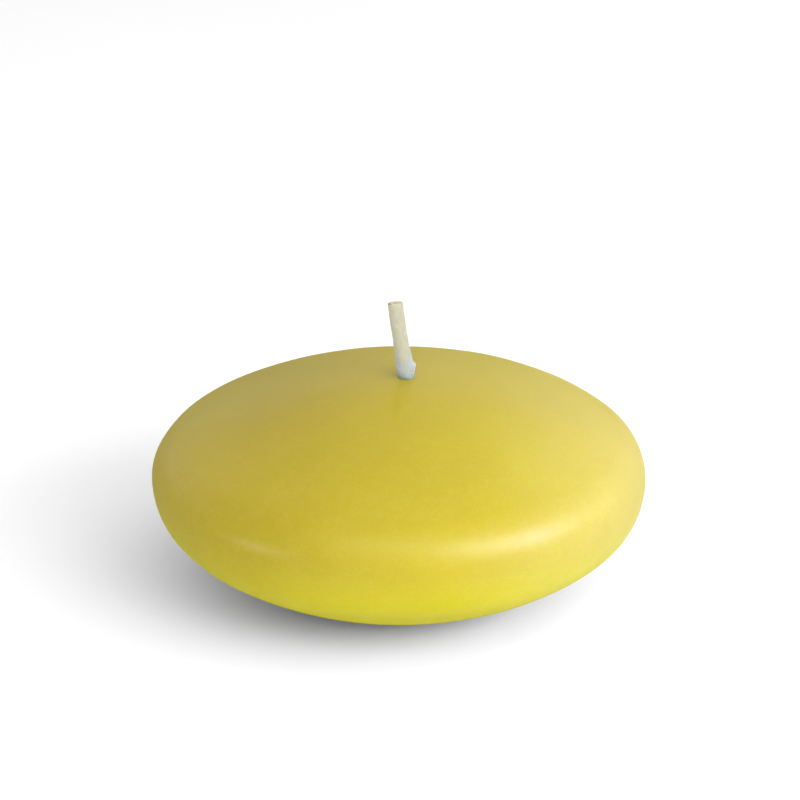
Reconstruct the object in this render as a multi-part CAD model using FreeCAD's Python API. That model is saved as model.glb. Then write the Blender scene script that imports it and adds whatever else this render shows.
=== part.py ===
import FreeCAD, Part

import math
import os

# A floating candle: a lens-shaped disc of pressed wax with a waxed cotton wick through it.
# All lengths are in millimetres. The origin is the middle of the face that the candle rests on,
# +Z is up and the wick leans towards -X.

# Wax disc
disc_diameter = 80.0        # across the rim, the widest part
rim_height = 18.0           # rim plane above the resting face
crown_height = 17.0         # top of the crown above the rim plane
crown_rim_radius = 8.8      # round that joins the rim to the crown
belly_rim_radius = 10.8     # round that joins the rim to the belly
foot_diameter = 34.0        # flat face that the disc rests on
foot_edge_radius = 3.0      # soft edge round that face

# Wick
wick_diameter = 2.4
wick_offset = 1.33          # the wick stands a little off the disc's axis, towards +X
wick_exposed = 12.9         # length that stands out of the crown
wick_bend_depth = 4.0       # the bend starts this far below the crown
wick_bend_length = 4.6
wick_lean = 8.3             # degrees off upright past the bend
wick_return_length = 3.2    # last stretch, which straightens up again
wick_return_angle = 3.5     # degrees that it straightens by
tip_hollow_diameter = 1.0   # hollow middle of the cut end
tip_hollow_depth = 0.35
tip_edge = 0.12             # broken edge of the cut end

# Tinned steel sustainer that holds the wick's lower end
sustainer_diameter = 15.0
sheet_thickness = 0.3
sustainer_inset = 0.4       # the plate sits this far up inside the foot
neck_height = 4.2           # above the plate's underside
neck_room = 0.22            # gap between the wick and the neck outside the crimp
neck_root_radius = 0.6      # outer round where the neck is drawn from the plate
crimp_width = 1.2
crimp_below_top = 0.9       # from the neck's top down to the crimp

# White priming wax that was pushed up round the wick
collar_base_thickness = 0.14
collar_belly_thickness = 0.24
collar_belly_height = 1.9
collar_height = 3.6
collar_top_thickness = 0.05
flake_reach = 0.62          # the raised flake stands this far off the wick, towards +X
flake_height = 2.5
flake_thickness = 0.24
flake_angle = 64.0          # degrees round the wick

# Fits
wick_clearance = 0.05       # wick in the wax, in the crimp and in the collar
seat_clearance = 0.1        # sustainer in its recess

disc_radius = disc_diameter / 2
foot_radius = foot_diameter / 2
wick_radius = wick_diameter / 2
bore_radius = wick_radius + wick_clearance
crown_top = rim_height + crown_height
up = FreeCAD.Vector(0, 0, 1)
wick_axis = FreeCAD.Vector(wick_offset, 0, 0)


def point(r, z):
    """A point of a profile that is turned about the Z axis."""
    return FreeCAD.Vector(r, 0, z)


def arc(centre, radius, start, end):
    """An arc in the XZ plane, between two angles in radians from +X."""
    angles = (start, (start + end) / 2, end)
    ends = [centre + FreeCAD.Vector(radius * math.cos(a), 0, radius * math.sin(a)) for a in angles]
    return Part.Arc(*ends).toShape()


def dome_centre(flat_radius, height, rim_radius):
    """Distance from the flat's plane to the centre, on the axis, of the arc that starts at the
    flat's edge and runs tangent into a rim round, where the rim lies at the given height."""
    reach = disc_radius - rim_radius
    k = reach ** 2 + height ** 2 - flat_radius ** 2 - rim_radius ** 2
    a = height ** 2 - rim_radius ** 2
    b = -k * height
    c = k ** 2 / 4 - rim_radius ** 2 * flat_radius ** 2
    return (-b + math.sqrt(b ** 2 - 4 * a * c)) / (2 * a)


def dome_edges(flat_radius, height, rim_radius, side):
    """The rim round and the dome arc, from the rim to the flat's edge. The side is 1 for the
    crown, which is above the rim plane, and -1 for the belly."""
    centre_height = dome_centre(flat_radius, height, rim_radius)
    dome_radius = math.hypot(flat_radius, centre_height)
    rim_middle = point(disc_radius - rim_radius, rim_height)
    dome_middle = point(0, rim_height + side * (height - centre_height))
    joint_angle = side * math.atan2(centre_height - height, disc_radius - rim_radius)
    flat_angle = side * math.atan2(centre_height, flat_radius)
    rim_edge = arc(rim_middle, rim_radius, 0, joint_angle)
    dome_edge = arc(dome_middle, dome_radius, joint_angle, flat_angle)
    return rim_edge, dome_edge


def turned(edges, axis_point=FreeCAD.Vector(0, 0, 0), start=0, sweep=360):
    """A solid turned from a closed profile in the XZ plane about an upright axis."""
    face = Part.Face(Part.Wire(Part.__sortEdges__(edges)))
    face.rotate(axis_point, up, start)
    return face.revolve(axis_point, up, sweep)


def outline(points):
    """Straight edges that join the points and close the loop."""
    return [Part.makeLine(p, q) for p, q in zip(points, points[1:] + points[:1])]


def plain_disc():
    """The disc's outer form, before anything is cut from it."""
    crown_rim, crown = dome_edges(0, crown_height, crown_rim_radius, 1)
    belly_rim, belly = dome_edges(foot_radius, rim_height, belly_rim_radius, -1)
    foot = Part.makeLine(point(foot_radius, 0), point(0, 0))
    axis = Part.makeLine(point(0, 0), point(0, crown_top))
    disc = turned([crown_rim, crown, belly_rim, belly, foot, axis])
    edges = [e for e in disc.Edges if abs(e.BoundBox.ZMax) < 1e-6 and abs(e.BoundBox.XMax - foot_radius) < 1e-3]
    return disc.makeFillet(foot_edge_radius, edges)


def wick_path():
    """Upright in the wax, bent to one side under the crown, straight, then bent back at the tip."""
    lean = math.radians(wick_lean)
    back = math.radians(wick_return_angle)
    bend_radius = wick_bend_length / lean
    return_radius = wick_return_length / back
    leaning_length = wick_bend_depth + wick_exposed - wick_bend_length - wick_return_length
    foot_point = wick_axis + FreeCAD.Vector(0, 0, sustainer_inset)
    bend_start = wick_axis + FreeCAD.Vector(0, 0, crown_top - wick_bend_depth)
    bend_middle = bend_start - FreeCAD.Vector(bend_radius, 0, 0)
    bend = arc(bend_middle, bend_radius, 0, lean)
    bend_end = bend.Vertexes[-1].Point
    return_start = bend_end + FreeCAD.Vector(-math.sin(lean), 0, math.cos(lean)) * leaning_length
    outward = FreeCAD.Vector(math.cos(lean), 0, math.sin(lean))
    return_middle = return_start + outward * return_radius
    tip = arc(return_middle, return_radius, math.pi + lean, math.pi + lean - back)
    upright = Part.makeLine(foot_point, bend_start)
    leaning = Part.makeLine(bend_end, return_start)
    return Part.Wire([upright, bend, leaning, tip])


def swept_round(path, radius):
    """A round bar along the path."""
    start = path.Vertexes[0].Point
    ring = Part.Wire(Part.makeCircle(radius, start, up))
    return path.makePipeShell([ring], True, True)


def crown_crossing(path):
    """Where the wick leaves the crown, and the way it points there."""
    corner = FreeCAD.Vector(-disc_radius, -disc_radius, crown_top)
    level = Part.makePlane(disc_diameter, disc_diameter, corner)
    crossing = path.section(level).Vertexes[0].Point
    edge = min(path.Edges, key=lambda e: e.distToShape(Part.Vertex(crossing))[0])
    way = edge.tangentAt(edge.Curve.parameter(crossing))
    return crossing, way


def tip_place(path):
    """Where the wick ends, and the way it points there."""
    last = path.Edges[-1]
    end = last.valueAt(last.LastParameter)
    way = last.tangentAt(last.LastParameter)
    return end, way


def make_wick(path):
    bar = swept_round(path, wick_radius)
    end, way = tip_place(path)
    hollow = Part.makeCone(0, tip_hollow_diameter / 2, tip_hollow_depth, end - way * tip_hollow_depth, way)
    rim = [e for e in bar.Edges if (e.CenterOfMass - end).Length < tip_edge]
    return bar.makeChamfer(tip_edge, rim).cut(hollow)


def neck_radius():
    return wick_radius + neck_room + sheet_thickness


def make_sustainer():
    """One stamping: a round plate with a neck drawn up from it and crimped on the wick."""
    inner = wick_radius + neck_room
    outer = neck_radius()
    squeeze = neck_room - wick_clearance
    crimp_high = neck_height - crimp_below_top
    crimp_low = crimp_high - crimp_width
    slope = crimp_width / 4
    crimp = [
        (0, crimp_low),
        (squeeze, crimp_low + slope),
        (squeeze, crimp_high - slope),
        (0, crimp_high),
    ]
    inside = [point(inner - depth, z) for depth, z in crimp]
    outside = [point(outer - depth, z) for depth, z in reversed(crimp)]
    root_top = sheet_thickness + neck_root_radius
    plate = [
        point(outer + neck_root_radius, sheet_thickness),
        point(sustainer_diameter / 2, sheet_thickness),
        point(sustainer_diameter / 2, 0),
        point(inner, 0),
    ]
    neck = inside + [point(inner, neck_height), point(outer, neck_height)] + outside
    corners = plate + neck + [point(outer, root_top)]
    sides = [Part.makeLine(p, q) for p, q in zip(corners, corners[1:])]
    root_middle = point(outer + neck_root_radius, root_top)
    root = arc(root_middle, neck_root_radius, math.pi, 3 * math.pi / 2)
    stamping = turned(sides + [root])
    stamping.translate(wick_axis + FreeCAD.Vector(0, 0, sustainer_inset))
    return stamping


def sustainer_seat():
    """The room in the foot for the plate and its neck."""
    plate_top = sustainer_inset + sheet_thickness
    neck_top = sustainer_inset + neck_height + seat_clearance
    plate_room = Part.makeCylinder(sustainer_diameter / 2 + seat_clearance, plate_top, wick_axis)
    neck_bore = Part.makeCylinder(neck_radius() + seat_clearance, neck_top, wick_axis)
    root_reach = neck_root_radius + seat_clearance
    root_room = Part.makeCone(
        neck_radius() + root_reach,
        neck_radius(),
        root_reach,
        wick_axis + FreeCAD.Vector(0, 0, plate_top),
    )
    return plate_room.fuse([neck_bore, root_room])


def make_disc(bore):
    return plain_disc().cut(sustainer_seat()).cut(bore)


def make_collar(path, bore):
    """A thin sleeve of wax round the leaning wick, with one flake that stands off it."""
    sink = collar_height
    base = wick_radius + collar_base_thickness
    sleeve = turned(
        outline(
            [
                point(0, -sink),
                point(base, -sink),
                point(base, 0),
                point(wick_radius + collar_belly_thickness, collar_belly_height),
                point(wick_radius + collar_top_thickness, collar_height),
                point(0, collar_height),
            ]
        )
    )
    flake_root = base - flake_thickness / 2
    flake = turned(
        outline(
            [
                point(flake_root, -sink),
                point(base, -sink),
                point(base, 0),
                point(wick_radius + flake_reach, flake_height * 0.8),
                point(wick_radius + flake_reach - flake_thickness / 2, flake_height),
                point(wick_radius, flake_height * 0.55),
                point(flake_root, 0),
            ]
        ),
        start=-flake_angle / 2,
        sweep=flake_angle,
    )
    collar = sleeve.fuse(flake)
    crossing, way = crown_crossing(path)
    lean = math.degrees(math.atan2(way.x, way.z))
    collar.rotate(FreeCAD.Vector(0, 0, 0), FreeCAD.Vector(0, 1, 0), lean)
    collar.translate(crossing)
    return collar.cut(plain_disc()).cut(bore)


def main():
    path = wick_path()
    bore = swept_round(path, bore_radius)
    nodes = {
        "wax_disc": make_disc(bore),
        "wick": make_wick(path),
        "wick_sustainer": make_sustainer(),
        "wick_wax_collar": make_collar(path, bore),
    }
    os.makedirs("parts", exist_ok=True)
    for name, shape in nodes.items():
        shape.exportStep(f"parts/{name}.step")
        box = shape.BoundBox
        size = f"{box.XLength:.2f} x {box.YLength:.2f} x {box.ZLength:.2f}"
        print(f"{name}: {len(shape.Solids)} solid, valid {shape.isValid()}, {size} mm, {shape.Volume:.2f} mm3")


main()
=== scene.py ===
import math

import bmesh
import bpy
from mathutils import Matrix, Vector, noise


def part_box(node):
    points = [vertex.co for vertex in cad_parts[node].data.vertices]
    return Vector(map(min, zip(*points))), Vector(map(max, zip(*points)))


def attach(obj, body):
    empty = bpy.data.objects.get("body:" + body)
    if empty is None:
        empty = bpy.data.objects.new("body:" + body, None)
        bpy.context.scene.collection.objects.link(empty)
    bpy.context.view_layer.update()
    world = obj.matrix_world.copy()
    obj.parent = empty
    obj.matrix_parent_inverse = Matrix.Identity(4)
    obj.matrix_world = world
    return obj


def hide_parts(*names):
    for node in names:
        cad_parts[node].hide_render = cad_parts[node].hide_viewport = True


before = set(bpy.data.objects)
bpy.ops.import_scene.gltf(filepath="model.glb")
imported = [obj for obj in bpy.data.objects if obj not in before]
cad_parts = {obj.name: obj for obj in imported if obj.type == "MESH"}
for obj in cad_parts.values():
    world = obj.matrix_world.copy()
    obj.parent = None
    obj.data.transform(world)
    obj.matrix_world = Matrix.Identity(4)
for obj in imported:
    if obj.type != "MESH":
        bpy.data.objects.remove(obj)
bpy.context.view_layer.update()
mm = 0.001               # lengths in the dictionaries are millimetres, angles are degrees
waxIndex = 1.44          # how strongly wax bends light
noiseSpan = (0.3, 0.7)   # cloud noise mostly lies between these


# Small helpers

def ease(start, end, value):             # 0 before start, 1 after end, smooth between
    share = min(max((value - start) / (end - start), 0.0), 1.0)
    return share * share * (3.0 - 2.0 * share)


def mix(a, b, share):
    return a + (b - a) * share


discLow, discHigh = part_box("wax_disc")
discRadius = (discHigh.x - discLow.x) / 2 / mm
crownTop = discHigh.z / mm


def arcSteps(centre, radius, first, last, steps):    # points of an arc after its first one
    angles = [mix(first, last, i / steps) for i in range(1, steps + 1)]
    return [(centre[0] + radius * math.cos(a), centre[1] + radius * math.sin(a)) for a in angles]


def lineSteps(start, end, steps):        # points of a straight stretch after its first one
    shares = [i / steps for i in range(1, steps + 1)]
    return [(mix(start[0], end[0], s), mix(start[1], end[1], s)) for s in shares]


def joinRings(name, rings, heights, material, closed=False):
    # Skins a stack of rings with quads. A ring of one point closes an end. The UV map runs
    # once round each ring, and along the stack by the given heights.
    bm = bmesh.new()
    uvMap = bm.loops.layers.uv.new("around")
    rows = [[bm.verts.new(point * mm) for point in ring] for ring in rings]
    pairs = [(i, (i + 1) % len(rows)) for i in range(len(rows) if closed else len(rows) - 1)]
    for low, high in pairs:
        count = max(len(rows[low]), len(rows[high]))
        for j in range(count):
            corners = [(low, j), (low, j + 1), (high, j + 1), (high, j)]
            placed = {}
            for row, k in corners:
                vert = rows[row][k % len(rows[row])]
                placed.setdefault(vert, (k / count, heights[row]))
            face = bm.faces.new(placed)
            face.smooth = True
            for loop, uv in zip(face.loops, placed.values()):
                loop[uvMap].uv = uv
    bmesh.ops.recalc_face_normals(bm, faces=bm.faces[:])
    mesh = bpy.data.meshes.new(name)
    bm.to_mesh(mesh)
    bm.free()
    mesh.materials.append(material)
    piece = bpy.data.objects.new(name, mesh)
    bpy.context.scene.collection.objects.link(piece)
    return piece


# Material helpers

def newMaterial(name):
    material = bpy.data.materials.new(name)
    material.use_nodes = True
    tree = material.node_tree
    tree.nodes.clear()
    shader = tree.nodes.new("ShaderNodeBsdfPrincipled")
    output = tree.nodes.new("ShaderNodeOutputMaterial")
    tree.links.new(shader.outputs["BSDF"], output.inputs["Surface"])
    return material, tree, shader


def addNode(tree, kind, inputs=None, **settings):    # a linked input is given as a socket
    node = tree.nodes.new(kind)
    for key, value in settings.items():
        setattr(node, key, value)
    for key, value in (inputs or {}).items():
        if isinstance(value, bpy.types.NodeSocket):
            tree.links.new(value, node.inputs[key])
        else:
            node.inputs[key].default_value = value
    return node


def placeInMm(tree):                     # the point on the piece, in millimetres
    place = addNode(tree, "ShaderNodeTexCoord")
    scaled = addNode(tree, "ShaderNodeVectorMath", {0: place.outputs["Object"], "Scale": 1 / mm},
                     operation="SCALE")
    return scaled.outputs["Vector"]


def stretched(tree, place, factors):
    node = addNode(tree, "ShaderNodeVectorMath", {0: place, 1: factors}, operation="MULTIPLY")
    return node.outputs["Vector"]


def noiseOf(tree, place, size, detail=2.0, roughness=0.5):    # cloud noise with lumps of that size
    node = addNode(tree, "ShaderNodeTexNoise",
                   {"Vector": place, "Scale": 1.0 / size, "Detail": detail, "Roughness": roughness})
    return node.outputs["Fac"]


def remap(tree, value, fromLow, fromHigh, toLow, toHigh, shape="LINEAR"):
    node = addNode(tree, "ShaderNodeMapRange",
                   {"Value": value, "From Min": fromLow, "From Max": fromHigh,
                    "To Min": toLow, "To Max": toHigh}, interpolation_type=shape)
    return node.outputs["Result"]


def math2(tree, operation, a, b):
    return addNode(tree, "ShaderNodeMath", {0: a, 1: b}, operation=operation).outputs[0]


def blendColours(tree, share, first, second, blend="MIX"):
    inputs = {0: share, 6: first, 7: second}
    return addNode(tree, "ShaderNodeMix", inputs, data_type="RGBA", blend_type=blend).outputs[2]


def bumpOf(tree, height, depth, normal=None):        # depth in millimetres
    inputs = {"Height": height, "Distance": depth * mm, "Strength": 1.0}
    if normal is not None:
        inputs["Normal"] = normal
    return addNode(tree, "ShaderNodeBump", inputs).outputs["Normal"]


def axisOf(tree, vector, axis):
    return addNode(tree, "ShaderNodeSeparateXYZ", {0: vector}).outputs[axis]


def acrossOf(tree):                      # -1 where the surface faces -X, 1 where it faces +X
    return axisOf(tree, addNode(tree, "ShaderNodeTexCoord").outputs["Normal"], "X")


def paintSideShading(tree, tone, look):         # painted light and shade: lighter on the -X side, away from the key light, and darker on the +X side
    share = remap(tree, acrossOf(tree), *look["sideFacing"], 0.0, 1.0)
    side = blendColours(tree, share, look["leftTint"], look["rightTint"])
    return blendColours(tree, 1.0, tone, side, "MULTIPLY")


def pointValue(tree, name):              # a value that the piece's own function gives its points
    return addNode(tree, "ShaderNodeAttribute", attribute_name=name).outputs["Fac"]


def setScatter(shader, look):            # light travels a short way inside wax
    shader.inputs["Subsurface Weight"].default_value = look["scatter"]
    shader.inputs["Subsurface Radius"].default_value = look["scatterColour"]
    shader.inputs["Subsurface Scale"].default_value = look["scatterDepth"] * mm
    shader.inputs["IOR"].default_value = waxIndex


def setPointValues(piece, layers):
    for name, values in layers.items():
        layer = piece.data.attributes.new(name, "FLOAT", "POINT")
        layer.data.foreach_set("value", values)


# The coloured wax

waxFinish = {                    # each range runs from where its layer starts to where it is full
    "colour": (0.430, 0.348, 0.0195, 1),
    "deepColour": (0.403, 0.322, 0.0155, 1),     # where the pigment is denser
    "deepRange": (0.35, 0.68),
    "paleColour": (0.448, 0.366, 0.035, 1),      # specks of bloom
    "paleRange": (0.42, 0.78),
    "paleBreak": (0.35, 0.7, 0.25, 0.9),         # how the grain breaks them up
    "speckle": (0.945, 1.055),   # how far the grain darkens and lightens the tone
    "crownTint": (0.890, 0.872, 0.56, 1),        # painted shade: the crown is painted darker and less blue; painted light: the belly is painted brighter and greener
    "crownHeights": (24.5, 36.0),
    "bellyTint": (1.36, 1.545, 0.25, 1),
    "bellyHeights": (20.0, 6.0),
    "warmTint": (0.930, 0.898, 0.82, 1),         # painted shade: the crown's -X side, away from the key light, is painted darker and warmer
    "leftShadeFacing": (0.12, -0.30),
    "leftShadeHeights": (17.0, 25.0),
    "rightSheenShift": (-0.054, 0.021, 0.074, 1),     # painted sheen: the +X side, towards the key light, is painted paler and cooler
    "rightSheenFacing": (0.18, 0.95),
    "bounceColour": (0.33, 0.33, 0.33, 1),       # the light it throws on the floor is neutral
    "cloudSize": 22.0,
    "mottleSize": 1.6,
    "grainSize": 0.22,
    "roughness": (0.28, 0.34),
    "grazingRoughness": 0.30,    # more of it where the surface is seen edge on
    "grazingRange": (0.6, 1.0),
    "gloss": 0.36,
    "scatter": 0.35,
    "scatterDepth": 1.4,
    "scatterColour": (1.0, 0.72, 0.12),
    "grainDepth": 0.004,
    "mottleDepth": 0.010,
}


def makeColouredWax():
    look = waxFinish
    material, tree, shader = newMaterial("colouredWax")
    place = placeInMm(tree)
    height = axisOf(tree, place, "Z")
    across = acrossOf(tree)
    cloud = noiseOf(tree, place, look["cloudSize"], detail=3.0)
    mottle = noiseOf(tree, place, look["mottleSize"], detail=4.0, roughness=0.62)
    grain = noiseOf(tree, place, look["grainSize"], roughness=0.7)

    deep = remap(tree, cloud, *look["deepRange"], 0.0, 1.0)
    tone = blendColours(tree, deep, look["colour"], look["deepColour"])
    pale = math2(tree, "MULTIPLY", remap(tree, mottle, *look["paleRange"], 0.0, 1.0),
                 remap(tree, grain, *look["paleBreak"]))
    tone = blendColours(tree, pale, tone, look["paleColour"])
    tone = blendColours(tree, 1.0, tone, remap(tree, grain, *noiseSpan, *look["speckle"]), "MULTIPLY")
    # painted shade on the crown and painted light on the belly, by height
    for part in ("crown", "belly"):
        share = remap(tree, height, *look[part + "Heights"], 0.0, 1.0, "SMOOTHSTEP")
        tone = blendColours(tree, share, tone, look[part + "Tint"], "MULTIPLY")
    # painted shade on the crown's -X side
    share = math2(tree, "MULTIPLY", remap(tree, across, *look["leftShadeFacing"], 0.0, 1.0),
                  remap(tree, height, *look["leftShadeHeights"], 0.0, 1.0))
    tone = blendColours(tree, share, tone, look["warmTint"], "MULTIPLY")
    # painted sheen on the +X side
    share = remap(tree, across, *look["rightSheenFacing"], 0.0, 1.0)
    tone = blendColours(tree, share, tone, look["rightSheenShift"], "ADD")
    path = addNode(tree, "ShaderNodeLightPath")      # the floor sees the wax at odd bounces
    odd = math2(tree, "MODULO", path.outputs["Diffuse Depth"], 2.0)
    bounce = math2(tree, "MULTIPLY", path.outputs["Is Diffuse Ray"], odd)
    tone = blendColours(tree, bounce, tone, look["bounceColour"])
    tree.links.new(tone, shader.inputs["Base Color"])

    facing = addNode(tree, "ShaderNodeLayerWeight", {"Blend": 0.5}).outputs["Facing"]
    rough = math2(tree, "ADD", remap(tree, mottle, 0.3, 0.75, *look["roughness"]),
                  remap(tree, facing, *look["grazingRange"], 0.0, look["grazingRoughness"]))
    tree.links.new(rough, shader.inputs["Roughness"])
    setScatter(shader, look)
    shader.inputs["Specular IOR Level"].default_value = look["gloss"]
    coarse = bumpOf(tree, mottle, look["mottleDepth"])
    fine = bumpOf(tree, grain, look["grainDepth"], coarse)
    tree.links.new(fine, shader.inputs["Normal"])
    return material


# The disc of coloured wax

waxDisc = {
    "rimHeight": 18.0,
    "crownRimRadius": 8.8,       # rounds that join the rim to the crown and to the belly
    "bellyRimRadius": 10.8,
    "footDiameter": 34.0,
    "footEdge": 3.0,
    "boreRadius": 1.25,
    "boreOffset": 1.33,          # the wick stands off the disc's axis
    "boreLip": 0.15,             # soft edges of the hole and of the recess
    "seatRadius": 7.6,           # recess for the sustainer's plate
    "seatDepth": 0.7,
    "neckRadius": 2.72,          # room for its neck
    "neckTop": 4.7,
    "neckRoot": 0.6,
    "centringRadius": 13.0,      # rings are true to the disc's axis beyond this
    "around": 400,
    "crownSteps": 84,
    "crownCrowding": 1.3,        # the crown's steps are finer near the hole
    "rimSteps": 24,              # for each of the rim's two rounds
    "bellySteps": 42,
    "footEdgeSteps": 8,
    "waveStart": 4.0,            # the waves grow to their full height between the hole and this radius
    "waveEnd": 3.0,              # and fade out from this height to the foot
    "swellRadii": (24.0, 33.0),
    "swells": [                  # azimuth, half width, how far the rim stands off its true form
        (180, 8, 0.24),
        (209, 9, -0.15),
        (303, 12, 0.13),
        (61, 14, 0.16),
        (109, 12, -0.12),
        (30, 10, -0.14),
    ],
    "waves": [(27.0, 0.10), (9.0, 0.022), (3.0, 0.006)],    # lump size and height
}


def domeOf(flatRadius, height, rimRadius):
    # Distance from the flat's plane to the middle of the arc that runs tangent into the rim.
    reach = discRadius - rimRadius
    k = reach ** 2 + height ** 2 - flatRadius ** 2 - rimRadius ** 2
    a = height ** 2 - rimRadius ** 2
    b = -k * height
    c = k ** 2 / 4 - rimRadius ** 2 * flatRadius ** 2
    middle = (-b + math.sqrt(b ** 2 - 4 * a * c)) / (2 * a)
    return middle, math.hypot(flatRadius, middle)


def discForm():                          # the arcs of the disc's section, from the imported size
    size = waxDisc
    rim = size["rimHeight"]
    footRadius = size["footDiameter"] / 2
    crownMiddle, crownRadius = domeOf(0, crownTop - rim, size["crownRimRadius"])
    bellyMiddle, bellyRadius = domeOf(footRadius, rim, size["bellyRimRadius"])
    return {
        "crownCentre": crownTop - crownMiddle,
        "crownRadius": crownRadius,
        "crownJoint": math.atan2(crownMiddle - (crownTop - rim), discRadius - size["crownRimRadius"]),
        "bellyCentre": bellyMiddle,
        "bellyRadius": bellyRadius,
        "bellyJoint": math.atan2(bellyMiddle - rim, discRadius - size["bellyRimRadius"]),
    }


def crownHeight(form, x, y):
    return form["crownCentre"] + math.sqrt(form["crownRadius"] ** 2 - x * x - y * y)


def discSection(form):
    # Stations from the hole in the crown, over the rim, under the belly and up the bore.
    # Each has a radius, a height, its outward direction and its share of the surface's waves.
    size = waxDisc
    lip = size["boreLip"]
    hole = size["boreRadius"] + lip
    rim = size["rimHeight"]
    stations = []

    crownEdge = form["crownRadius"] * math.cos(form["crownJoint"])
    steps = size["crownSteps"]
    for i in range(steps + 1):
        r = mix(hole, crownEdge, (i / steps) ** size["crownCrowding"])
        tilt = math.asin(r / form["crownRadius"])
        stations.append((r, crownHeight(form, r, 0), math.pi / 2 - tilt, ease(hole, size["waveStart"], r)))

    steps = size["rimSteps"]
    upper = size["crownRimRadius"]
    for i in range(1, steps + 1):
        a = form["crownJoint"] * (1 - i / steps)
        stations.append((discRadius - upper + upper * math.cos(a), rim + upper * math.sin(a), a, 1.0))
    lower = size["bellyRimRadius"]
    for i in range(1, steps + 1):
        a = -form["bellyJoint"] * i / steps
        stations.append((discRadius - lower + lower * math.cos(a), rim + lower * math.sin(a), a, 1.0))

    edge = size["footEdge"]
    inner = form["bellyRadius"] - edge
    edgeMiddle = math.sqrt(inner ** 2 - (form["bellyCentre"] - edge) ** 2)
    edgeJoint = -math.atan2(form["bellyCentre"] - edge, edgeMiddle)
    steps = size["bellySteps"]
    for i in range(1, steps + 1):
        a = mix(-form["bellyJoint"], edgeJoint, i / steps)
        r = form["bellyRadius"] * math.cos(a)
        z = form["bellyCentre"] + form["bellyRadius"] * math.sin(a)
        stations.append((r, z, a, ease(0.0, size["waveEnd"], z)))
    steps = size["footEdgeSteps"]
    for i in range(1, steps + 1):
        a = mix(edgeJoint, -math.pi / 2, i / steps)
        stations.append((edgeMiddle + edge * math.cos(a), edge + edge * math.sin(a), a, 0.0))

    seat = size["seatRadius"]
    depth = size["seatDepth"]
    neck = size["neckRadius"]
    root = size["neckRoot"]
    top = size["neckTop"]
    bore = size["boreRadius"]
    inside = lineSteps((edgeMiddle, 0), (seat + lip, 0), 14)
    inside += arcSteps((seat + lip, lip), lip, -math.pi / 2, -math.pi, 4)
    corners = [(seat, lip), (seat, depth), (neck + root, depth), (neck, depth + root), (neck, top),
               (bore, top), (bore, crownTop - lip)]
    for start, end, steps in zip(corners, corners[1:], (3, 8, 3, 6, 3, 20)):
        inside += lineSteps(start, end, steps)
    inside += arcSteps((hole, crownTop - lip), lip, math.pi, math.pi / 2, 4)[:-1]
    return stations + [(r, z, 0.0, 0.0) for r, z in inside]


def waxWave(point):                      # how far the pressed surface stands off its true form
    stand = sum(noise.noise(point / lump) * height for lump, height in waxDisc["waves"])
    azimuth = math.degrees(math.atan2(point.y, point.x))
    outer = ease(*waxDisc["swellRadii"], math.hypot(point.x, point.y))
    for middle, halfWidth, height in waxDisc["swells"]:
        turn = (azimuth - middle + 180) % 360 - 180
        stand += outer * height * math.exp(-(turn / halfWidth) ** 2)
    return stand


def makeWaxDisc():
    size = waxDisc
    form = discForm()
    rings = []
    heights = []
    for r, z, direction, waviness in discSection(form):
        centred = ease(size["boreRadius"], size["centringRadius"], r)
        middle = wickPlace(z) * (1 - centred)
        onCrown = direction > form["crownJoint"] and z > size["rimHeight"]
        ring = []
        for j in range(size["around"]):
            turn = 2 * math.pi * j / size["around"]
            x = r * math.cos(turn) + middle
            y = r * math.sin(turn)
            point = Vector((x, y, crownHeight(form, x, y) if onCrown else z))
            if waviness > 0:
                level = math.cos(direction)
                out = Vector((level * math.cos(turn), level * math.sin(turn), math.sin(direction)))
                point += out * waxWave(point) * waviness
            ring.append(point)
        rings.append(ring)
        heights.append(z / crownTop)
    piece = joinRings("coloured_wax_disc", rings, heights, makeColouredWax(), closed=True)
    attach(piece, "root")
    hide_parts("wax_disc")
    print("wax disc:", len(piece.data.polygons), "faces")


# The wick's route: upright through the wax, a bend to -X just under the crown, a straight
# stretch, then a little more upright at the tip

wickRoute = {
    "foot": 0.4,                 # height of its lower end
    "exposed": 12.9,
    "bendDepth": 4.0,            # the bend starts this far under the crown
    "bendLength": 4.6,
    "lean": 8.3,
    "returnLength": 3.2,
    "returnAngle": 3.5,
}


def routePoint(length):                  # x, z and lean at that length along the wick
    route = wickRoute
    lean = math.radians(route["lean"])
    back = math.radians(route["returnAngle"])
    upright = crownTop - route["bendDepth"] - route["foot"]
    leaning = route["bendDepth"] + route["exposed"] - route["bendLength"] - route["returnLength"]
    x = waxDisc["boreOffset"]
    z = route["foot"]
    if length <= upright:
        return x, z + length, 0.0
    bendRadius = route["bendLength"] / lean
    angle = min(length - upright, route["bendLength"]) / bendRadius
    x -= bendRadius * (1 - math.cos(angle))
    z += upright + bendRadius * math.sin(angle)
    past = length - upright - route["bendLength"]
    if past <= 0:
        return x, z, angle
    straight = min(past, leaning)
    x -= straight * math.sin(lean)
    z += straight * math.cos(lean)
    returnRadius = route["returnLength"] / back
    turned = max(past - leaning, 0) / returnRadius
    x -= returnRadius * (math.cos(lean - turned) - math.cos(lean))
    z += returnRadius * (math.sin(lean) - math.sin(lean - turned))
    return x, z, lean - turned


def routeLength():
    return crownTop - wickRoute["foot"] + wickRoute["exposed"]


def wickPlace(z):                        # x where the wick is at that height
    low = 0.0
    high = routeLength()
    for _ in range(24):
        middle = (low + high) / 2
        if routePoint(middle)[1] < z:
            low = middle
        else:
            high = middle
    return routePoint(low)[0]


# The wick

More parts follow.
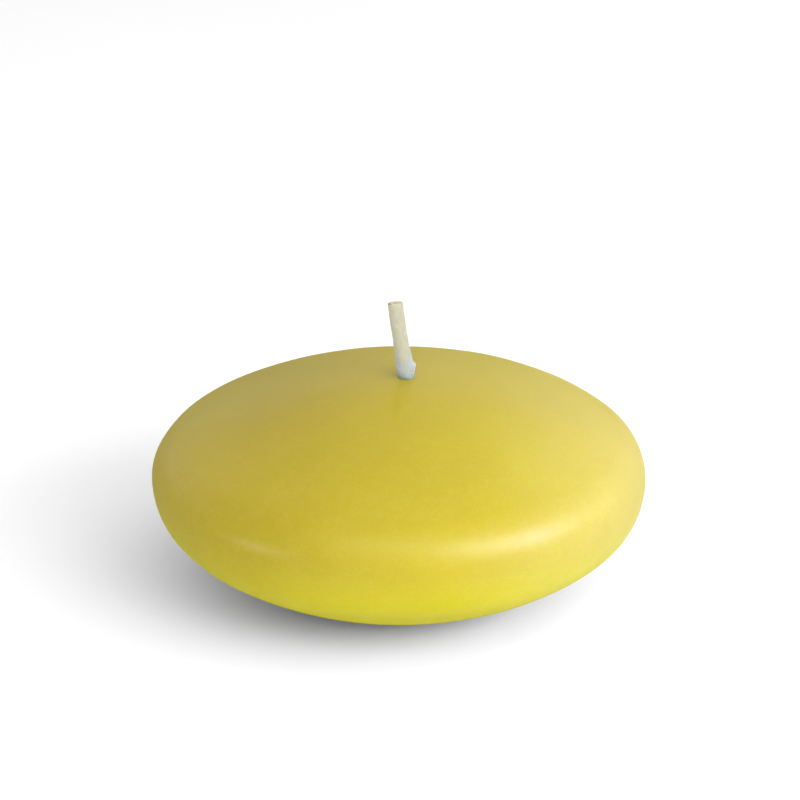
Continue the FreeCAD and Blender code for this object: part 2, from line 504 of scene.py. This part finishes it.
cottonFinish = {
    "colour": (0.408, 0.391, 0.291, 1),
    "threadAndValleyShade": (0.355, 0.334, 0.240, 1),   # the threads' darker tone, and painted shade down between the strands
    "waxColour": (0.432, 0.420, 0.331, 1),      # where more wax lies on it
    "leftTint": (1.38, 1.38, 1.36, 1),          # painted light on the -X side, away from the key light, and painted shade on the +X side
    "rightTint": (0.84, 0.85, 0.85, 1),
    "cutColour": (0.545, 0.465, 0.300, 1),      # the cut end, browned
    "scorchAndShadeColour": (0.170, 0.125, 0.060, 1),   # darker brown on its rim: painted shade at the -X side, and browning in patches
    # painted shade: the hollow in the tip is painted near black
    "hollowColour": (0.030, 0.025, 0.010, 1),
    "sideFacing": (-0.9, 0.9),
    "fibreSize": 0.07,
    "fibreStretch": (1.0, 1.0, 0.12),           # fibres run up the wick
    "lumpSize": 0.9,
    "roughness": (0.58, 0.42),
    "fibreDepth": 0.012,
    "scatter": 0.9,
    "scatterDepth": 0.6,
    "scatterColour": (1.0, 0.92, 0.76),
    "gloss": 0.25,
}


def makeWaxedCotton():
    look = cottonFinish
    material, tree, shader = newMaterial("waxedCotton")
    place = placeInMm(tree)
    fibrePlace = stretched(tree, place, look["fibreStretch"])
    fibre = noiseOf(tree, fibrePlace, look["fibreSize"], detail=3.0, roughness=0.65)
    lump = noiseOf(tree, place, look["lumpSize"], detail=3.0)
    valley = remap(tree, pointValue(tree, "valley"), 0.2, 1.0, 0.0, 0.8)
    tone = blendColours(tree, remap(tree, fibre, 0.35, 0.7, 0.0, 0.5), look["colour"], look["threadAndValleyShade"])
    # painted shade in the plait's valleys
    tone = blendColours(tree, valley, tone, look["threadAndValleyShade"])
    tone = blendColours(tree, remap(tree, lump, 0.45, 0.7, 0.0, 0.7), tone, look["waxColour"])
    # painted light on the -X side, painted shade on the +X side
    tone = paintSideShading(tree, tone, look)
    # the cut's colour, the rim's painted shade and browning, and the hollow's painted shade
    for part in ("cut", "scorchAndShade", "hollow"):
        tone = blendColours(tree, pointValue(tree, part), tone, look[part + "Colour"])
    tree.links.new(tone, shader.inputs["Base Color"])
    tree.links.new(remap(tree, lump, *noiseSpan, *look["roughness"]), shader.inputs["Roughness"])
    setScatter(shader, look)
    weight = remap(tree, pointValue(tree, "cut"), 0.0, 1.0, look["scatter"], 0.0)    # the cut is dry
    tree.links.new(weight, shader.inputs["Subsurface Weight"])
    shader.inputs["Specular IOR Level"].default_value = look["gloss"]
    tree.links.new(bumpOf(tree, fibre, look["fibreDepth"]), shader.inputs["Normal"])
    return material


wick = {
    "across": (2.45, 2.36),      # slightly oval, wider in the leaning plane
    "strands": 6,                # each way round the plait
    "strandPitch": 1.7,          # length between crossings
    "strandRise": 0.35,          # how much higher a strand is where it passes over another
    "strandMiddle": 0.6,         # the part of a strand's height that lies on the true form
    "relief": 0.05,
    "waxedHeights": (37.2, 35.6),    # wax fills the plait towards the disc
    "waxedShare": 0.75,
    "streaks": (7, 0.8, 0.012),      # fine furrows: rate round and along the wick, and relief
    "lumps": (1.1, 0.025),           # their size and relief
    "noiseRadius": 1.2,
    "hollowRadius": 0.40,
    "hollowDepth": 0.45,
    "cutEdge": 0.14,
    "cutSlant": 8.0,             # the cut falls away towards +Y
    "cutReach": 1.6,             # length at the tip that takes up the slant
    "cutDrop": 0.03,             # the tip's share of the width that the slant takes off it
    "cutDish": 0.03,
    "ragged": (2.6, 0.06),       # the cut's roughness: rate and height
    "scorchAndShade": 0.85,              # how dark the rim of the cut is painted, by shade and browning
    "rimShadeFacing": (0.2, 0.95),     # painted shade towards -X
    "scorchPatches": (2.2, 0.175, 0.45),     # and in patches elsewhere: rate, mean and spread
    "around": 112,
    "along": 300,
    "crowding": 0.8,             # the rings lie closer towards the tip
}


def plait(turn, length):                 # 1 on a strand's back, 0 in the valleys
    size = wick
    p = size["strands"] * turn / (2 * math.pi) + length / (2 * size["strandPitch"])
    q = size["strands"] * turn / (2 * math.pi) - length / (2 * size["strandPitch"])
    fromP = abs(p - round(p)) * 2
    fromQ = abs(q - round(q)) * 2
    overP = math.cos(math.pi * q) * (1 if round(p) % 2 == 0 else -1)
    overQ = -math.cos(math.pi * p) * (1 if round(q) % 2 == 0 else -1)
    heightP = math.sqrt(max(1 - fromP ** 2, 0)) + size["strandRise"] * overP
    heightQ = math.sqrt(max(1 - fromQ ** 2, 0)) + size["strandRise"] * overQ
    return min(max(max(heightP, heightQ) - size["strandRise"], 0.0), 1.0)


def wickSection(length, inset, depth):
    # One ring of the wick. The inset draws it in towards its axis, the depth lowers it.
    size = wick
    x, z, lean = routePoint(length)
    along = Vector((-math.sin(lean), 0, math.cos(lean)))
    side = Vector((math.cos(lean), 0, math.sin(lean)))
    middle = Vector((x, 0, z)) - along * depth
    waxed = 1 - size["waxedShare"] * ease(*size["waxedHeights"], z)
    rx = size["across"][0] / 2
    ry = size["across"][1] / 2
    roundRate, alongRate, streakRelief = size["streaks"]
    lumpSize, lumpRelief = size["lumps"]
    near = ease(routeLength() - size["cutReach"], routeLength(), length)
    slope = math.tan(math.radians(size["cutSlant"]))
    drop = size["across"][1] * size["cutDrop"]
    ring = []
    valleys = []
    for j in range(size["around"]):
        turn = 2 * math.pi * j / size["around"]
        height = plait(turn, length)
        out = side * rx * math.cos(turn) + Vector((0, 1, 0)) * ry * math.sin(turn)
        seed = Vector((math.cos(turn) * size["noiseRadius"], math.sin(turn) * size["noiseRadius"], length))
        streak = noise.noise(Vector((seed.x * roundRate, seed.y * roundRate, length * alongRate)))
        lump = noise.noise(seed / lumpSize)
        stand = (height - size["strandMiddle"]) * size["relief"] * waxed
        stand += streak * streakRelief + lump * lumpRelief
        radius = out.length
        place = out * max((radius + stand - inset) / radius, 0.0)
        ring.append(middle + place - along * (place.y * slope + drop) * near)
        valleys.append((1 - height) * waxed)
    return ring, valleys


def wickPlan(total):
    # Each ring's length along the wick, its inset and its depth, from the lower cut end to the
    # hollow in the tip, and the number of the first ring of the upper cut.
    size = wick
    radius = sum(size["across"]) / 4
    edge = size["cutEdge"]
    hollow = size["hollowRadius"]
    shares = [(i / size["along"]) ** size["crowding"] for i in range(size["along"] + 1)]
    plan = [(0.0, radius * (1 - s), 0.0) for s in (0.3, 0.6, 0.85)]
    plan += [(edge * (1 - math.cos(a)), edge * (1 - math.sin(a)), 0.0) for a in (0.5, 1.1)]
    plan += [(mix(edge, total - edge, s), 0.0, 0.0) for s in shares]
    plan += [(total - edge * (1 - math.sin(a)), edge * (1 - math.cos(a)), 0.0) for a in (0.4, 0.8, 1.2)]
    firstCut = len(plan) - 2
    shares = [i / 7 for i in range(8)]
    plan += [(total, mix(edge, radius - hollow, s), size["cutDish"] * math.sin(math.pi * s)) for s in shares]
    shares = [i / 6 for i in range(1, 6)]
    plan += [(total, radius - hollow * (1 - s), size["hollowDepth"] * s) for s in shares]
    return plan, firstCut


def scorchAndShadeAt(turn):                      # how dark the cut's rim is painted there: shade towards -X, browning in patches
    rate, mean, spread = wick["scorchPatches"]
    patch = mean + spread * noise.noise(Vector((math.cos(turn), math.sin(turn), 0.4)) * rate)
    return min(max(ease(*wick["rimShadeFacing"], -math.cos(turn)) + patch, 0), 1) * wick["scorchAndShade"]


def makeWick():
    size = wick
    total = routeLength()
    plan, firstCut = wickPlan(total)
    raggedRate, raggedHeight = size["ragged"]
    foot = routePoint(0.0)
    tip = routePoint(total)
    rings = [[Vector((foot[0], 0, foot[1]))]]
    heights = [0.0]
    values = {"valley": [0.0], "cut": [0.0], "scorchAndShade": [0.0], "hollow": [0.0]}
    for i, (length, inset, depth) in enumerate(plan):
        ring, valleys = wickSection(length, inset, depth)
        if i >= firstCut:
            ragged = raggedHeight * ease(firstCut, firstCut + 3, i)
            ring = [p + Vector((0, 0, noise.noise(p * raggedRate) * ragged)) for p in ring]
        rings.append(ring)
        heights.append(length)
        count = len(ring)
        rim = ease(firstCut - 1.5, firstCut, i) * ease(firstCut + 4, firstCut + 2, i)
        values["valley"] += valleys
        values["cut"] += [ease(firstCut - 1.5, firstCut + 1.5, i)] * count
        # the rim's painted shade and browning
        values["scorchAndShade"] += [rim * scorchAndShadeAt(2 * math.pi * j / count) for j in range(count)]
        # painted shade in the hollow, full where it is deep
        values["hollow"] += [ease(0.02, 0.16, depth)] * count
    rings.append([Vector((tip[0], 0, tip[1] - size["hollowDepth"]))])
    heights.append(total)
    for name, value in (("valley", 1.0), ("cut", 1.0), ("scorchAndShade", 0.0), ("hollow", 1.0)):
        values[name].append(value)
    piece = joinRings("plaited_wick", rings, heights, makeWaxedCotton())
    setPointValues(piece, values)
    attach(piece, "root")
    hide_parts("wick")
    print("wick:", len(piece.data.polygons), "faces")


# The collar of priming wax

primingFinish = {
    "colour": (0.490, 0.525, 0.545, 1),
    "cloudColour": (0.420, 0.455, 0.440, 1),
    "thinColour": (0.395, 0.398, 0.330, 1),     # where the cotton shows through
    "baseShadeColour": (0.190, 0.300, 0.255, 1),     # painted shade, bluish-teal, where it meets the coloured wax
    "baseShadeHeight": 0.8,
    # painted light on the -X side, painted shade on the +X side
    "leftTint": (1.24, 1.30, 1.42, 1),
    "rightTint": (0.76, 0.77, 0.79, 1),
    "sideFacing": (-0.9, 0.9),
    "cloudSize": 0.6,
    "grainSize": 0.12,
    "grainDepth": 0.03,
    "roughness": (0.32, 0.5),
    "scatter": 0.9,
    "scatterDepth": 0.4,
    "scatterColour": (0.85, 0.95, 1.0),
    "fleckColour": (0.270, 0.290, 0.265, 1),    # darker flecks, lying in the dents of the bump
    "fleckSize": 0.30,
    "fleckDepth": 0.10,
    "fleckHeights": (36.0, 38.2),               # they thin out upwards
}


def makePrimingWax():
    look = primingFinish
    material, tree, shader = newMaterial("primingWax")
    place = placeInMm(tree)
    height = axisOf(tree, place, "Z")
    cloud = noiseOf(tree, place, look["cloudSize"], detail=3.0)
    grain = noiseOf(tree, place, look["grainSize"], detail=3.0, roughness=0.7)
    fleck = noiseOf(tree, place, look["fleckSize"], roughness=0.6)
    tone = blendColours(tree, remap(tree, cloud, 0.38, 0.65, 0.0, 1.0), look["colour"], look["cloudColour"])
    thick = math2(tree, "ADD", pointValue(tree, "thick"), remap(tree, cloud, *noiseSpan, -0.15, 0.15))
    tone = blendColours(tree, remap(tree, thick, 0.15, 0.75, 0.9, 0.0), tone, look["thinColour"])
    crumbs = math2(tree, "MULTIPLY", remap(tree, fleck, 0.48, 0.64, 0.0, 0.85),
                   remap(tree, height, *look["fleckHeights"], 1.0, 0.15))
    tone = blendColours(tree, crumbs, tone, look["fleckColour"])
    # painted light and shade across the collar
    tone = paintSideShading(tree, tone, look)
    # painted shade at the collar's foot, where it meets the coloured wax
    level = math2(tree, "ADD", height, remap(tree, cloud, *noiseSpan, -0.12, 0.12))
    low = remap(tree, level, crownTop, crownTop + look["baseShadeHeight"], 0.9, 0.0)
    tone = blendColours(tree, low, tone, look["baseShadeColour"])
    tree.links.new(tone, shader.inputs["Base Color"])
    tree.links.new(remap(tree, cloud, *noiseSpan, *look["roughness"]), shader.inputs["Roughness"])
    setScatter(shader, look)
    coarse = bumpOf(tree, fleck, -look["fleckDepth"])
    tree.links.new(bumpOf(tree, grain, look["grainDepth"], coarse), shader.inputs["Normal"])
    return material


collar = {
    "coats": [                   # azimuth, then heights and how far the wax stands off the wick there
        (4, [(0.0, 0.06), (0.5, 0.24), (1.1, 0.38), (1.7, 0.50), (2.1, 0.60), (2.35, 0.58),
             (2.48, 0.34), (2.9, 0.24), (3.8, 0.19), (4.7, 0.13), (5.3, -0.03)]),
        (42, [(0.0, 0.04), (0.5, 0.10), (1.0, 0.18), (1.5, 0.22), (1.9, 0.24), (2.3, 0.22),
              (2.7, 0.19), (3.1, 0.15), (3.6, 0.11), (4.1, 0.05), (4.6, -0.03)]),
        (90, [(0.0, 0.04), (0.4, 0.09), (0.8, 0.13), (1.2, 0.16), (1.6, 0.16), (2.0, 0.14),
              (2.4, 0.11), (2.7, 0.09), (3.0, 0.06), (3.3, 0.02), (3.6, -0.03)]),
        (180, [(0.0, 0.03), (0.5, 0.06), (1.0, 0.12), (1.5, 0.17), (2.0, 0.17), (2.5, 0.14),
               (3.0, 0.11), (3.5, 0.09), (4.1, 0.07), (4.7, 0.03), (5.2, -0.03)]),
        (270, [(0.0, 0.04), (0.3, 0.08), (0.6, 0.12), (0.9, 0.13), (1.2, 0.12), (1.5, 0.10),
               (1.8, 0.07), (2.1, 0.05), (2.4, 0.03), (2.7, 0.00), (3.0, -0.03)]),
        (328, [(0.0, 0.04), (0.5, 0.10), (1.0, 0.18), (1.5, 0.23), (1.9, 0.26), (2.3, 0.24),
               (2.6, 0.21), (3.0, 0.17), (3.5, 0.11), (4.0, 0.05), (4.5, -0.03)]),
    ],
    "inside": 0.10,              # its hidden face lies this far inside the wick
    "sink": 0.25,                # and it reaches this far into the crown
    "raggedness": 0.22,          # how far its upper edge rises and falls
    "raggedRates": (2.6, 6.1),
    "lumpRelief": 0.03,
    "lumpRates": (2.2, 6.0),
    "thinStands": (0.02, 0.16),  # seen edge on, the wax whitens as it stands off the wick,
    "edgeFacing": (0.45, 0.95),
    "thickStands": (0.28, 0.55),     # and the flake is white all over
    "around": 144,
    "steps": 3,                  # between two of the heights above
}


def coatAt(azimuth):                     # heights and stands at that azimuth
    coats = collar["coats"]
    for i, (start, low) in enumerate(coats):
        end, high = coats[(i + 1) % len(coats)]
        span = (end - start) % 360
        turn = (azimuth - start) % 360
        if turn <= span:
            share = ease(0, span, turn)
            return [(mix(a[0], b[0], share), mix(a[1], b[1], share)) for a, b in zip(low, high)]


def collarProfile(azimuth):              # closed outline of stand and height, at that azimuth
    size = collar
    around = Vector((math.cos(math.radians(azimuth)), math.sin(math.radians(azimuth)), 0.3))
    coarse, fine = size["raggedRates"]
    ragged = noise.noise(around * coarse) + 0.6 * noise.noise(around * fine)
    coat = coatAt(azimuth)
    top = coat[-1][0]
    outline = [(-size["inside"], top - 0.1), (-size["inside"], -size["sink"])]
    outline += [(coat[0][1] * (i + 1) / 2, -size["sink"]) for i in range(2)]
    outline += [(stand, height + size["raggedness"] * ragged * (height / top) ** 2) for height, stand in coat]
    return outline


def makeCollar():
    size = collar
    steps = size["steps"]
    coarse, fine = size["lumpRates"]
    thinStart = size["thinStands"][0]
    columns = []
    thickness = []
    for j in range(size["around"]):
        azimuth = 360 * j / size["around"]
        turn = math.radians(azimuth)
        corners = collarProfile(azimuth)
        edgeOn = ease(*size["edgeFacing"], abs(math.cos(turn)))
        across = Vector((wick["across"][0] * math.cos(turn), wick["across"][1] * math.sin(turn), 0)) / 2
        column = []
        for corner, nextCorner in zip(corners, corners[1:] + corners[:1]):
            for s in range(steps):
                stand = mix(corner[0], nextCorner[0], s / steps)
                height = mix(corner[1], nextCorner[1], s / steps)
                out = across * (1 + stand / across.length)
                point = Vector((wickPlace(crownTop + height), 0, crownTop + height)) + out
                if stand > thinStart:
                    lump = noise.noise(point * coarse) + 0.5 * noise.noise(point * fine)
                    point += out.normalized() * size["lumpRelief"] * lump
                column.append(point)
                thin = 0.5 * edgeOn * ease(*size["thinStands"], stand)
                thickness.append(thin + ease(*size["thickStands"], stand))
        columns.append(column)
    shares = [j / size["around"] for j in range(size["around"])]
    piece = joinRings("priming_wax_collar", columns, shares, makePrimingWax(), closed=True)
    setPointValues(piece, {"thick": thickness})
    soften = piece.modifiers.new("soften", "SUBSURF")
    soften.levels = 1
    soften.render_levels = 1
    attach(piece, "root")
    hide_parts("wick_wax_collar")
    print("collar:", len(piece.data.polygons), "faces before smoothing")


# The sustainer keeps its packed form and gets tinned steel

tinFinish = {
    "colour": (0.62, 0.61, 0.58, 1),
    "dullColour": (0.40, 0.39, 0.36, 1),
    "cloudSize": 2.4,
    "scratchSize": 0.25,
    "scratchStretch": (0.12, 3.0, 1.0),
    "spangleScale": 0.8,
    "roughness": (0.24, 0.46),
    "scratchRoughness": 0.08,
    "depth": 0.006,
}


def makeTinnedSteel():
    look = tinFinish
    material, tree, shader = newMaterial("tinnedSteel")
    place = placeInMm(tree)
    cloud = noiseOf(tree, place, look["cloudSize"], detail=4.0, roughness=0.6)
    scratch = noiseOf(tree, stretched(tree, place, look["scratchStretch"]), look["scratchSize"])
    spangle = addNode(tree, "ShaderNodeTexVoronoi", {"Vector": place, "Scale": look["spangleScale"]})
    tone = blendColours(tree, remap(tree, cloud, 0.4, 0.7, 0.0, 1.0), look["colour"], look["dullColour"])
    tree.links.new(tone, shader.inputs["Base Color"])
    rough = math2(tree, "ADD", remap(tree, cloud, *noiseSpan, *look["roughness"]),
                  remap(tree, scratch, 0.4, 0.7, 0.0, look["scratchRoughness"]))
    tree.links.new(rough, shader.inputs["Roughness"])
    shader.inputs["Metallic"].default_value = 1.0
    height = math2(tree, "ADD", spangle.outputs["Distance"], scratch)
    tree.links.new(bumpOf(tree, height, look["depth"]), shader.inputs["Normal"])
    return material


def dressSustainer():
    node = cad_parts["wick_sustainer"]
    node.data.materials.clear()
    node.data.materials.append(makeTinnedSteel())
    print("sustainer: tinned steel")


# Floor, light and camera

studio = {
    "floorSize": 6000.0,
    "floorSink": 0.02,           # how far it lies under the candle's foot
    "floorColour": (0.889, 0.889, 0.889, 1),
    "floorCloudSize": 60.0,
    "floorClouds": (0.99, 1.0),
    "floorInGloss": 0.32,        # the floor is duller where it shows in the wax
    "backdrop": 0.75,            # how bright the sky is seen, which is as bright as the far floor
    "overhead": 0.622,           # and how much light comes from each of its sides
    "front": 0.50,
    "back": 0.63,
    "right": 0.71,
    "left": 0.15,
    # Each light has its azimuth from the camera's side to the right, its elevation, its distance
    # from the candle, its size and its power. The glint is cool and lights the gloss alone.
    "glint": ("glintCard", 63, 21, 620, (180, 145), 0.90, (0.12, 0.26, 1.0)),
    "softboxes": [
        ("keySoftbox", 64, 21, 620, (540, 290), 2.12),
        ("tailSoftbox", 35, 28, 620, (250, 200), 0.50),
        ("sideSoftbox", 100, 15, 620, (300, 200), 0.20),
        ("frontSoftbox", 46, 25, 700, (640, 400), 1.86),
        ("highSoftbox", 8, 39, 800, (900, 500), 1.80),
        ("leftCard", -63, 1.4, 1200, (500, 90), 1.45),
        ("edgeCard", -112, 18, 900, (1000, 700), 0.75),
        ("backSoftbox", 125, 35, 700, (500, 400), 0.30),
    ],
}


def makeFloor():
    look = studio
    material, tree, shader = newMaterial("paleFloor")
    cloud = noiseOf(tree, placeInMm(tree), look["floorCloudSize"])
    glossy = addNode(tree, "ShaderNodeLightPath").outputs["Is Glossy Ray"]
    dim = math2(tree, "MULTIPLY", remap(tree, cloud, *noiseSpan, *look["floorClouds"]),
                remap(tree, glossy, 0.0, 1.0, 1.0, look["floorInGloss"]))
    tree.links.new(blendColours(tree, 1.0, look["floorColour"], dim, "MULTIPLY"), shader.inputs["Base Color"])
    shader.inputs["Roughness"].default_value = 0.9
    shader.inputs["Specular IOR Level"].default_value = 0.1
    bpy.ops.mesh.primitive_plane_add(size=look["floorSize"] * mm, location=(0, 0, -look["floorSink"] * mm))
    floor = bpy.context.object
    floor.name = "floor"
    floor.data.materials.append(material)


def makeSky():
    look = studio
    world = bpy.data.worlds.new("studio")
    bpy.context.scene.world = world
    world.use_nodes = True
    tree = world.node_tree
    tree.nodes.clear()
    way = addNode(tree, "ShaderNodeTexCoord").outputs["Generated"]
    axes = addNode(tree, "ShaderNodeSeparateXYZ", {0: way})
    strength = 0.0
    sides = [("Z", 1, "overhead"), ("Y", -1, "front"), ("Y", 1, "back"), ("X", 1, "right"), ("X", -1, "left")]
    for axis, sign, side in sides:
        facing = math2(tree, "MAXIMUM", math2(tree, "MULTIPLY", axes.outputs[axis], sign), 0.0)
        strength = math2(tree, "ADD", strength, math2(tree, "MULTIPLY", facing, look[side]))
    seen = addNode(tree, "ShaderNodeLightPath").outputs["Is Camera Ray"]
    strength = remap(tree, seen, 0.0, 1.0, strength, look["backdrop"])
    light = addNode(tree, "ShaderNodeBackground", {"Color": (1, 1, 1, 1), "Strength": strength})
    output = addNode(tree, "ShaderNodeOutputWorld")
    tree.links.new(light.outputs[0], output.inputs["Surface"])


def makeSoftbox(name, azimuth, elevation, distance, size, power, colour=(1, 1, 1)):
    light = bpy.data.lights.new(name, "AREA")
    light.shape = "RECTANGLE"
    light.size = size[0] * mm
    light.size_y = size[1] * mm
    light.energy = power
    light.color = colour
    lamp = bpy.data.objects.new(name, light)
    bpy.context.scene.collection.objects.link(lamp)
    a = math.radians(azimuth)
    e = math.radians(elevation)
    way = Vector((math.sin(a) * math.cos(e), -math.cos(a) * math.cos(e), math.sin(e)))
    aim = Vector((0, 0, waxDisc["rimHeight"] * mm))
    lamp.location = aim + way * distance * mm
    lamp.rotation_euler = way.to_track_quat("Z", "Y").to_euler()
    lamp.visible_camera = False
    return lamp


def makeLights():
    glint = makeSoftbox(*studio["glint"])
    glint.visible_diffuse = False
    for softbox in studio["softboxes"]:
        makeSoftbox(*softbox)


camera = {
    "elevation": 23.8,           # seen from the middle of the rim
    "distance": 480.0,
    "lens": 132.5,
    "sensor": 36.0,
    "clip": (0.05, 20.0),        # in metres
    "frame": 800,                # the photograph's width and height, in pixels
    "rimMiddle": (399.5, 473.5),     # where the middle of the rim shows in it
}


def makeCamera():
    look = camera
    pixels = look["lens"] / look["sensor"] * look["frame"]
    e = math.radians(look["elevation"])
    raised = math.atan((look["rimMiddle"][1] - look["frame"] / 2) / pixels)
    turned = math.atan((look["frame"] / 2 - look["rimMiddle"][0]) / pixels)
    data = bpy.data.cameras.new("camera")
    data.lens = look["lens"]
    data.sensor_width = look["sensor"]
    data.clip_start, data.clip_end = look["clip"]
    eye = bpy.data.objects.new("camera", data)
    bpy.context.scene.collection.objects.link(eye)
    back = Vector((0, -math.cos(e), math.sin(e))) * look["distance"] * mm
    eye.location = Vector((0, 0, waxDisc["rimHeight"] * mm)) + back
    eye.rotation_euler = (math.pi / 2 - e + raised, 0, -turned)
    bpy.context.scene.camera = eye
    bpy.context.scene.view_settings.view_transform = "Standard"
    print("camera: placed")


makeCamera()
makeWaxDisc()
makeWick()
makeCollar()
dressSustainer()
makeFloor()
makeSky()
makeLights()
print("studio: floor, sky and lights")
